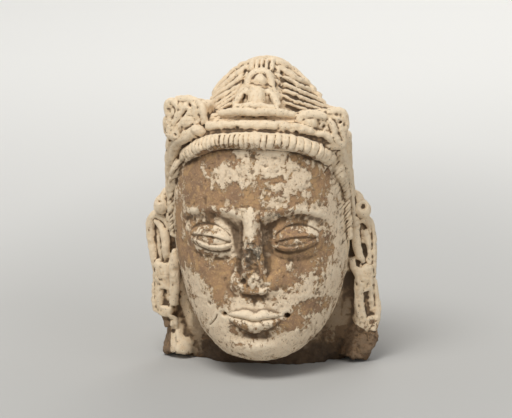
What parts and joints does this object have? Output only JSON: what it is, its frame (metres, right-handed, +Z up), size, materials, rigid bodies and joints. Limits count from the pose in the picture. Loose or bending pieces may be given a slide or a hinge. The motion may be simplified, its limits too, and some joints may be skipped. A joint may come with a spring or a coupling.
{
  "type": "bodhisattva head",
  "caption": "Broken-off fired-clay head of a crowned bodhisattva with topknot, notched hairline cord, scroll ornaments and long pierced ears, standing upright on its broken neck.",
  "frame": {"origin": "centre of the bounding box's underside, on the plane that the broken neck rests on", "axes": "+Z up through the topknot, -Y the way the face looks, +X to the right of someone who faces it"},
  "size_m": [0.1268, 0.1074, 0.165],
  "materials": {
    "fired_clay": "matt, dry, pale slip worn to tan clay"
  },
  "bodies": {
    "root": {"bodhisattva_head": "fired_clay"}
  },
  "joints": []
}
